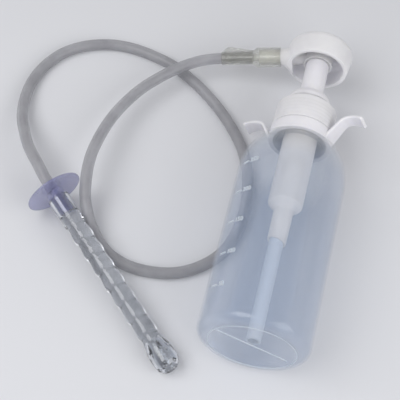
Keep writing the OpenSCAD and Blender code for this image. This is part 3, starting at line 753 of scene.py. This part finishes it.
grip_top = grip_z + grip_h
flange_top = grip_z + grip_flange_h
body_r = grip_r - grip_inset
grip_profile = rounded(
    [
        (grip_bore, grip_z, 0),
        (grip_r, grip_z, 0.4),
        (grip_r, flange_top, 0.3),
        (body_r - grip_groove, flange_top + grip_groove / 2, 0.1),
        (body_r, flange_top + grip_groove, 0.3),
        (body_r, grip_top - 0.8, 0.2),
        (body_r - grip_groove, grip_top - 0.5, 0.2),
        (body_r - grip_groove, grip_top, 0.3),
        (grip_bore, grip_top, 0),
    ]
)
polypropylene = moulded_polypropylene("moulded_polypropylene", thick_glow)
wing_turn = upright @ Matrix.Rotation(math.radians(-wing_roll), 4, "Z")
grip = placed("winged_grip", revolve(grip_profile, closed=True), upright)
for name, turn in (("right_wing", 0), ("left_wing", 180)):
    side = wing_turn @ Matrix.Rotation(math.radians(turn), 4, "Z")
    grip = combined(grip, placed(name, wing(), side), "UNION")
finished(grip, "grip", "white_pp", polypropylene, "finger_grip")

# Screw cap
# A moulded cap that clamps the pump's flange on the neck. Its side shows faint rings
# where the thread inside lets the wall sink.
cap_r = 18.3
cap_draft = 0.3
cap_bore = 16.8
cap_z = 139.6
cap_side_top = 155.0
cap_top = 159.0
cap_hole = 13.3
clamp_z = 154.5
fit_gap = 0.05
cap_edge = 0.3
cap_bead_h = 1.3
cap_inset = 0.2
rings_from = cap_z + 2
rings_to = cap_side_top - 1.2
ring_pitch = 2.4
ring_depth = 0.06
ring_steps = 60

cap_side = [
    Vector((cap_r - cap_edge, cap_z)),
    Vector((cap_r, cap_z + cap_edge)),
    Vector((cap_r, cap_z + cap_bead_h)),
    Vector((cap_r - cap_inset - 0.05, cap_z + cap_bead_h + cap_edge)),
]
for k in range(ring_steps + 1):
    share = k / ring_steps
    h = rings_from + (rings_to - rings_from) * share
    sink = ring_depth * (0.5 - 0.5 * math.cos(2 * math.pi * (h - rings_from) / ring_pitch))
    cap_side.append(Vector((cap_r - cap_inset - cap_draft * share - sink, h)))
cap_top_r = cap_r - cap_draft - cap_inset
cap_profile = (
    cap_side
    + rounded(
        [
            (cap_top_r, rings_to + 0.1, 0),
            (cap_top_r, cap_side_top, 1.4),
            (cap_hole + 1, cap_top - 0.5, 0.8),
            (cap_hole, cap_top, 0.2),
            (cap_hole, clamp_z + fit_gap, 0),
        ]
    )[1:]
    + [Vector((cap_bore, clamp_z + fit_gap)), Vector((cap_bore, cap_z))]
)
cap = placed("ringed_cap", revolve(cap_profile, closed=True), upright)
finished(cap, "cap", "white_pp", polypropylene, "screw_cap")

# Lock collar
# A moulded guide for the stem, pressed into the cylinder's mouth. It stands in the cap's
# hole and rounds in to a low lip round the stem.
collar_r = 13.0
collar_lip_r = 9.0
collar_cone_z = 159.15
collar_top = 166.45
collar_plug_z = 148.5
collar_plug_r = 8.15
stem_r = 6.9
stem_run = 6.95
collar_profile = rounded(
    [
        (stem_run, collar_plug_z, 0),
        (collar_plug_r, collar_plug_z, 0.3),
        (collar_plug_r, clamp_z, 0),
        (collar_r, clamp_z, 0),
        (collar_r, collar_cone_z + 2.2, 2),
        (collar_r - 1.2, collar_cone_z + 5.2, 2),
        (collar_lip_r, collar_top - 0.7, 0.1),
        (collar_lip_r - 0.1, collar_top, 0.4),
        (stem_run, collar_top, 0),
    ]
)
collar = placed("stem_collar", revolve(collar_profile, closed=True), upright)
finished(collar, "pump", "white_pp", polypropylene, "lock_collar")

# Pump cylinder
# The barrel that hangs in the bottle, moulded in natural polypropylene. It narrows to
# the ball valve and to the dip tube's socket, whose end is cut at a slant.
flange_z = 153.0
flange_r = 15.6
barrel_r = 9.9
barrel_bore = 8.2
barrel_z = 91.0
chamber_r = 4.6
seat_top = 83.5
seat_z = 81.0
passage_r = 2.6
dip_socket_top = 77.0
dip_socket_z = 65.0
dip_socket_r = 5.3
dip_socket_slant = 12
slant_block = 40.0
dip_r = 4.0


def natural_polypropylene():
    """Uncoloured PP, moulded: whitish and translucent, with a soft gloss."""
    material, tree = new_material("natural_polypropylene")
    tone, cloud = mottled(tree, 12.5, "#e9e4df", "#f2ede8")
    finish = {"Roughness": 0.35, "IOR": 1.49, "Specular IOR Level": 0.45}
    add_surface(tree, finish, tone, cloud, 0.1, 0.2)
    return material


natural = natural_polypropylene()
cone_foot = barrel_z - 6
cylinder_profile = rounded(
    [
        (dip_r + fit_gap, dip_socket_z - 1.2, 0),
        (dip_socket_r, dip_socket_z - 1.2, 0.3),
        (dip_socket_r + 0.3, cone_foot, 2),
        (barrel_r, barrel_z - 2, 2),
        (barrel_r, flange_z, 0.5),
        (flange_r, flange_z, 0.2),
        (flange_r, clamp_z, 0.2),
        (barrel_bore, clamp_z, 0.2),
        (barrel_bore, barrel_z, 0),
        (chamber_r, barrel_z, 0),
        (chamber_r, seat_top, 0),
        (passage_r, seat_z, 0),
        (passage_r, dip_socket_top, 0),
        (dip_r + fit_gap, dip_socket_top, 0),
    ]
)
cylinder = placed("pump_barrel", revolve(cylinder_profile, closed=True), upright)
slant = bmesh.new()
bmesh.ops.create_cube(slant, size=slant_block)
slant.transform(
    Matrix.Translation((0, 0, dip_socket_z))
    @ Matrix.Rotation(math.radians(dip_socket_slant), 4, "Y")
    @ Matrix.Translation((0, 0, -slant_block / 2))
)
cylinder = combined(cylinder, placed("slant", slant, upright), "DIFFERENCE")
finished(cylinder, "pump", "natural_pp", natural, "pump_cylinder")

# Dip tube
# A length of extruded polyethylene tube, cut off square. It is pushed into the cylinder's
# socket and reaches down to the foot.
dip_wall = 1.0
dip_end = 4.0


def extruded_polyethylene():
    """Natural PE tube, extruded: bluish, translucent, with a dull gloss."""
    material, tree = new_material("extruded_polyethylene")
    tone, cloud = mottled(tree, 16.7, "#ccd4df", "#d9dfe8", stretch=(1, 0.1, 1))
    finish = {"Roughness": 0.35, "IOR": 1.5, "Specular IOR Level": 0.45}
    add_surface(tree, finish, tone, cloud, 0.1, 0.2)
    return material


dip_profile = rounded(
    [
        (dip_r - dip_wall, dip_end, 0),
        (dip_r, dip_end, 0.15),
        (dip_r, dip_socket_top, 0),
        (dip_r - dip_wall, dip_socket_top, 0),
    ]
)
dip_tube = placed("dip_pipe", revolve(dip_profile, closed=True), upright)
finished(dip_tube, "pump", "natural_pp", extruded_polyethylene(), "dip_tube")

# Stem
# The hollow plunger, moulded in white polypropylene. It is thinner where the piston sits,
# and its passage leads up into the head.
stem_end_r = 5.4
stem_bore = 4.6
stem_bore_top = 157.0
stem_passage = 2.4
stem_top = 193.95
piston_top = 148.2
piston_z = 138.3
stem_profile = rounded(
    [
        (stem_bore, piston_z, 0),
        (stem_end_r, piston_z, 0.1),
        (stem_end_r, piston_top, 0),
        (stem_r, piston_top, 0.1),
        (stem_r, stem_top, 0.1),
        (stem_passage, stem_top, 0),
        (stem_passage, stem_bore_top, 0),
        (stem_bore, stem_bore_top, 0),
    ]
)
stem = placed("hollow_stem", revolve(stem_profile, closed=True), upright)
finished(stem, "plunger", "white_pp", polypropylene, "stem")

# Pump head
# A moulded button with a low dome, hollow below round a hub that grips the stem, and a
# spout on its side that swells into the wall. Its thin wall lets light through.
head_r = 19.7
head_rim_r = 18.1
rim_z = 187.65
head_wide_z = 199.05
head_edge_top = 202.06
head_edge_r = 3.2
head_top = 204.86
head_wall = 2.0
hub_r = 8.6
hub_up = 2.8
spout_r = 5.2
spout_bore = 2.6
spout_end_r = 4.7
spout_step_at = 23.8
spout_end_at = 36.9
spout_root_at = 16.5
spout_swell = 3.6
spout_swell_from = 24.5
spout_chamfer = 0.4
spout_steps = 14
spout_sides = 64
spout_way_up = 1.3
overlap = 1.0
thin_glow = 10.0

head_profile = rounded(
    [
        (0, head_top, 0),
        (head_r * 0.55, head_top - 0.9, 12),
        (head_r - 0.6, head_edge_top, head_edge_r),
        (head_r, head_wide_z, head_edge_r),
        (head_rim_r, rim_z, 0.6),
        (head_rim_r - head_wall - 0.4, rim_z, 0.6),
        (head_r - head_wall, head_edge_top - head_wall / 2, 2.4),
        (0, head_edge_top - head_wall / 2, 0),
    ]
)


def spout_skin():
    """The spout: a tube with a step for the connector and a swelling below its root."""
    bm = bmesh.new()
    rings = []
    root_len = spout_step_at - spout_root_at
    stations = [(spout_root_at + root_len * k / spout_steps, spout_r) for k in range(spout_steps + 1)]
    stations += [
        (spout_step_at, spout_end_r),
        (spout_end_at - spout_chamfer, spout_end_r),
        (spout_end_at, spout_end_r - spout_chamfer),
    ]
    for at, r in stations:
        share = max(0, (spout_swell_from - at) / (spout_swell_from - spout_root_at))
        swell = spout_swell * share**2 if r == spout_r else 0
        ring = arc((swell, 0), (r + swell, r + swell), 0, 360, spout_sides)[:-1]
        rings.append([bm.verts.new((x, y, at)) for x, y in ring])
    for a, b in zip(rings, rings[1:]):
        bridge(bm, a, b)
    bm.faces.new(rings[0])
    bm.faces.new(rings[-1])
    bmesh.ops.recalc_face_normals(bm, faces=bm.faces)
    return bm


def rod(r, first, last, sides=spout_sides):
    """A round rod along +Z, in millimetres."""
    return revolve([(0, first), (r, first), (r, last), (0, last)], sides)


head = placed("mushroom_head", revolve(head_profile), upright)
for name, shape, place, operation in (
    ("hub", rod(hub_r, rim_z + hub_up, head_edge_top), upright, "UNION"),
    ("spout_tube", rod(spout_r, hub_r - overlap, spout_root_at + overlap), along_spout, "UNION"),
    ("spout_skin", spout_skin(), along_spout, "UNION"),
    ("stem_bore", rod(stem_r + fit_gap, rim_z, stem_top), upright, "DIFFERENCE"),
    ("way_up", rod(stem_passage, stem_top - overlap, spout_up + spout_way_up), upright, "DIFFERENCE"),
    ("way_out", rod(spout_bore, 0, spout_end_at + overlap), along_spout, "DIFFERENCE"),
):
    head = combined(head, placed(name, shape, place), operation)
thin_polypropylene = moulded_polypropylene("thin_polypropylene", thin_glow)
finished(head, "plunger", "white_pp", thin_polypropylene, "pump_head")

# Hose connector
# A clear vinyl adapter, pushed over the spout, with the hose pushed into its thin end and
# a flat lug on it to turn it by.
socket_out_r = 6.1
socket_end_at = 38.5
hose_tube_r = 4.2
connector_bore = 2.0
lug_t = 2.2
lug_h = 3.7
lug_foot = 0.6
lug_start = 0.9


def clear_vinyl():
    """Rigid PVC, moulded clear: glossy, with a yellow-green cast in its thickness."""
    material, tree = new_material("clear_vinyl")
    tone, cloud = mottled(tree, 5.0, "#d8d9cc", "#e6e7dc")
    finish = {
        "Roughness": 0.04,
        "IOR": 1.53,
        "Transmission Weight": 0.9,
        "Specular IOR Level": 1.0,
        "Alpha": 0.5,
    }
    add_surface(tree, finish, tone, cloud, 0.04, 0.2)
    return material


connector_profile = rounded(
    [
        (spout_end_r + fit_gap, spout_step_at, 0),
        (socket_out_r, spout_step_at, 0.4),
        (socket_out_r, socket_end_at, 0.8),
        (hose_tube_r, hose_seat_at, 0.8),
        (hose_tube_r, connector_end_at, 0.2),
        (hose_r + fit_gap, connector_end_at, 0.1),
        (hose_r + fit_gap, hose_seat_at, 0),
        (connector_bore, hose_seat_at, 0),
        (connector_bore, spout_end_at, 0),
        (spout_end_r + fit_gap, spout_end_at, 0),
    ]
)
lug_outline = rounded(
    [
        (socket_end_at + 0.8, hose_tube_r - lug_foot, 0),
        (hose_seat_at, hose_tube_r + lug_start, 1),
        (connector_end_at - 5.5, hose_tube_r + lug_h - 0.1, 1),
        (connector_end_at - 3.5, hose_tube_r + lug_h, 1),
        (connector_end_at - 0.6, hose_tube_r + lug_start, 0.5),
        (connector_end_at - 0.6, hose_tube_r - lug_foot, 0),
    ]
)
lug = bmesh.new()
lug_sides = [[lug.verts.new((-up, side * lug_t / 2, at)) for at, up in lug_outline] for side in (-1, 1)]
bridge(lug, *lug_sides)
for lug_side in lug_sides:
    lug.faces.new(lug_side)
bmesh.ops.recalc_face_normals(lug, faces=lug.faces)
connector = placed("clear_connector", revolve(connector_profile, spout_sides, closed=True), along_spout)
connector = combined(connector, placed("lug", lug, along_spout), "UNION")
finished(connector, "plunger", "clear_pvc", clear_vinyl(), "hose_connector")

# Splash guard
# A violet-blue polystyrene disc between hose and nozzle. Its plug shows through the
# clear nozzle, and its barb holds the hose.
guard_boss_r = 5.3
guard_boss_h = 4.0
guard_plug_end = 15.0
guard_plug_r = 4.35
guard_bore = 2.3
barb_r = 1.9
barb_bore = 1.2
barb_h = 7.0


def violet_polystyrene():
    """Crystal polystyrene with a violet-blue dye, polished: deep colour where it is thick."""
    material, tree = new_material("violet_polystyrene")
    tone, cloud = mottled(tree, 16.7, "#9294c6", "#a2a4d2")
    finish = {
        "Roughness": 0.12,
        "IOR": 1.59,
        "Transmission Weight": 0.6,
        "Specular IOR Level": 0.8,
        "Alpha": 0.6,
    }
    add_surface(tree, finish, tone, cloud, 0.05, 0.2)
    return material


guard_profile = rounded(
    [
        (barb_bore, -guard_t - barb_h, 0),
        (barb_r - 0.3, -guard_t - barb_h, 0.1),
        (barb_r, -guard_t - barb_h + 1, 0.2),
        (barb_r, -guard_t, 0.2),
        (guard_r, -guard_t, 0.7),
        (guard_r, 0, 0.7),
        (guard_boss_r, 0, 0.5),
        (guard_boss_r, guard_boss_h, 0.2),
        (guard_plug_r, guard_boss_h, 0),
        (guard_plug_r, guard_plug_end, 0.4),
        (guard_bore, guard_plug_end, 0.2),
        (guard_bore, 0, 0),
        (barb_bore, 0, 0),
    ]
)
guard = placed("violet_guard", revolve(guard_profile, closed=True), along_nozzle)
finished(guard, "pump", "violet_ps", violet_polystyrene(), "splash_guard")

# Nozzle
# A clear polystyrene nozzle: a straight mouth over the guard's plug up to a low ring, seven
# waves that swell towards the tip, and a round bulb with two rings of discharge holes.
nozzle_r = 6.4
straight_end_r = 5.8
nozzle_ring_r = 6.15
mouth_bore = 4.4
nozzle_bore = 3.2
wave_start = 24.2
wave_pitch = 10.9
wave_count = 7
wave_low_r = 5.25
wave_high_r = 6.0
wave_rise_share = 0.72
ring_at = wave_start - 2.9
bulb_wall = 1.5
bulb_side_h = 5.0
jet_r = 0.9
jet_count = 6
jet_offset = 6.4
jet_slope = 60
jet_from = 1.0
jet_sides = 20
wave_steps = 16
blend_steps = 12
nozzle_sides = 96
bore_skin = 0.05


def clear_polystyrene():
    """Crystal polystyrene, moulded and polished: colourless, with bright edges."""
    material, tree = new_material("clear_polystyrene")
    tone, cloud = mottled(tree, 6.67, "#e6e9ee", "#f4f6f9")
    finish = {"Roughness": 0.02, "IOR": 1.59, "Transmission Weight": 1.0, "Specular IOR Level": 1.0}
    add_surface(tree, finish, tone, cloud, 0.04, 0.2)
    return material


def painted_reflection_polystyrene():
    """The same polystyrene in the bore, left satin by a ground core pin; its pale tone is a painted
    reflection of the lamps along the bore.
    """
    material, tree = new_material("painted_reflection_polystyrene")
    tone, cloud = mottled(tree, 6.67, "#c0c3ca", "#d2d5db")
    finish = {"Roughness": 0.3, "IOR": 1.59, "Specular IOR Level": 1.0, "Alpha": 0.3}
    add_surface(tree, finish, tone, cloud, 0.04, 0.2)
    return material


def wave_side():
    """The waves' outside, each a slow rise and a quick fall."""
    points = []
    for k in range(wave_count * wave_steps):
        share = k % wave_steps / wave_steps
        if share < wave_rise_share:
            swell = 0.5 - 0.5 * math.cos(math.pi * share / wave_rise_share)
        else:
            swell = 0.5 + 0.5 * math.cos(math.pi * (share - wave_rise_share) / (1 - wave_rise_share))
        r = wave_low_r + (wave_high_r - wave_low_r) * swell
        points.append(Vector((r, wave_start + wave_pitch * k / wave_steps)))
    return points


def bulb_neck():
    """The outside from the last wave to the bulb, as one smooth rise."""
    points = []
    for k in range(blend_steps + 1):
        share = k / blend_steps
        swell = 0.5 - 0.5 * math.cos(math.pi * share)
        points.append(Vector((wave_low_r + (bulb_r - wave_low_r) * swell, wave_end + neck_len * share)))
    return points


bulb_start = bulb_at - bulb_side_h
wave_end = wave_start + wave_pitch * wave_count
bulb_in_r = bulb_r - bulb_wall
neck_len = bulb_start - wave_end
nozzle_profile = (
    rounded(
        [
            (mouth_bore, guard_boss_h, 0),
            (nozzle_r, guard_boss_h, 0.4),
            (straight_end_r, ring_at - 1.4, 0.3),
            (nozzle_ring_r, ring_at - 0.5, 0.4),
            (nozzle_ring_r, ring_at + 0.5, 0.6),
            (wave_low_r, wave_start, 0),
        ]
    )
    + wave_side()[1:]
    + bulb_neck()
    + arc((0, bulb_at), (bulb_r, bulb_r), 0, 90, 16)
    + arc((0, bulb_at), (bulb_in_r, bulb_in_r), 90, 0, 12)
    + rounded(
        [
            (bulb_in_r, bulb_start, 0),
            (nozzle_bore, bulb_start - 8, 4),
            (nozzle_bore, guard_plug_end + 1, 0),
            (mouth_bore, guard_plug_end + 0.5, 0),
        ]
    )
)
nozzle = placed("wave_nozzle", revolve(nozzle_profile, nozzle_sides, closed=True), along_nozzle)
jets = []
for i in range(jet_count):
    for place, slope, turn in ((bulb_at - jet_offset, 90, i), (bulb_at, jet_slope, i + 0.5)):
        jet = rod(jet_r, jet_from, 2 * bulb_r, jet_sides)
        jet.transform(
            Matrix.Rotation(math.radians(360 * turn / jet_count), 4, "Z")
            @ Matrix.Translation((0, 0, place))
            @ Matrix.Rotation(math.radians(slope), 4, "Y")
        )
        jets.append(placed("jet", jet, along_nozzle))
nozzle = combined(nozzle, joined("jets", jets), "DIFFERENCE")
finished(nozzle, "pump", "clear_ps", clear_polystyrene(), "nozzle")
# Painted reflection: the faces of the bore take the pale material, which stands for the lamps reflected along
# the bore.
nozzle.data.materials.append(painted_reflection_polystyrene())
across_nozzle = along_nozzle.inverted()
for face in nozzle.data.polygons:
    centre = across_nozzle @ face.center / MM
    if math.hypot(centre.x, centre.y) < nozzle_bore + bore_skin:
        face.material_index = 1

# Return spring
# Ten turns of drawn stainless wire between the ball cage and the valve seat.
spring_r = 6.0
spring_wire = 0.6
spring_turns = 10
spring_low = 92.85
spring_high = 135.85


def drawn_steel():
    """Stainless spring wire, drawn: bright grey, with fine lines along it."""
    material, tree = new_material("drawn_steel")
    tone, cloud = mottled(tree, 1.11, "#8e9196", "#a9acb1")
    finish = {"Roughness": 0.32, "Metallic": 1.0}
    add_surface(tree, finish, tone, cloud, 0.1, 0.05)
    return material


steel = drawn_steel()
spring = coil("wound_spring", spring_r, spring_turns, spring_high - spring_low, spring_wire, steel)
spring.data.transform(upright @ Matrix.Scale(MM, 4) @ Matrix.Translation((0, 0, spring_low)))
finished(spring, "pump", "spring_steel", steel, "return_spring")
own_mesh(spring)

# Seals and valves
# The small parts inside the pump keep their construction shapes: a foam seal under the
# flange, the piston, the cage and seat of the valves, and two glass balls.


def foamed_seal():
    """Closed-cell PE foam: dull, pale grey, finely pitted."""
    material, tree = new_material("foamed_seal")
    tone, cloud = mottled(tree, 0.667, "#b9bcc2", "#d2d4d8")
    finish = {"Roughness": 0.85}
    add_surface(tree, finish, tone, cloud, 0.4, 0.1)
    return material


def ground_glass():
    """Soda-lime glass balls, ground: clear with a green cast."""
    material, tree = new_material("ground_glass")
    tone, cloud = mottled(tree, 2.0, "#cfe3dc", "#e4f0ec")
    finish = {"Roughness": 0.1, "IOR": 1.52, "Transmission Weight": 0.9}
    add_surface(tree, finish, tone, cloud, 0.05, 0.05)
    return material


glass = ground_glass()
inner_finishes = {
    "neck_gasket": foamed_seal(),
    "piston": natural,
    "ball_cage": polypropylene,
    "valve_seat": polypropylene,
    "inlet_ball": glass,
    "outlet_ball": glass,
}
for node_name, material in inner_finishes.items():
    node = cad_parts[node_name]
    node.data.materials.clear()
    node.data.materials.append(material)

# Table
# A plain, matt, pale surface that the object lies on. It is the stage, and no part of
# the object.
table_size = 4.0
table_colour = "#d9dade"
bm = bmesh.new()
corners = [(-1, -1), (1, -1), (1, 1), (-1, 1)]
bm.faces.new([bm.verts.new((x * table_size / 2, y * table_size / 2, 0)) for x, y in corners])
table = mesh_object("table", bm)
material, tree = new_material("matt_table")
matt = add_node(tree, "ShaderNodeBsdfPrincipled", {"Base Color": linear(table_colour), "Roughness": 0.8})
add_node(tree, "ShaderNodeOutputMaterial", {}, {"Surface": matt.outputs[0]})
table.data.materials.append(material)

# Lights
# A large soft lamp over the left shoulder, a weaker one from the right, and an even room,
# at a level where a colour renders about as it is written.
lamp_size = (0.9, 0.6)
lamps = [("key_lamp", (-0.5, -0.35, 0.85), 5.8), ("fill_lamp", (0.7, -0.35, 0.6), 3.6)]
room_colour = "#f3f3f5"
room_strength = 0.48
for name, place, power in lamps:
    lamp = bpy.data.objects.new(name, bpy.data.lights.new(name, "AREA"))
    bpy.context.collection.objects.link(lamp)
    lamp.data.shape = "RECTANGLE"
    lamp.data.size, lamp.data.size_y = lamp_size
    lamp.data.energy = power
    lamp.location = place
    lamp.rotation_euler = (-Vector(place)).to_track_quat("-Z", "Y").to_euler()
world = bpy.data.worlds.new("room")
world.use_nodes = True
bpy.context.scene.world = world
room = world.node_tree.nodes["Background"]
room.inputs["Color"].default_value = linear(room_colour)
room.inputs["Strength"].default_value = room_strength
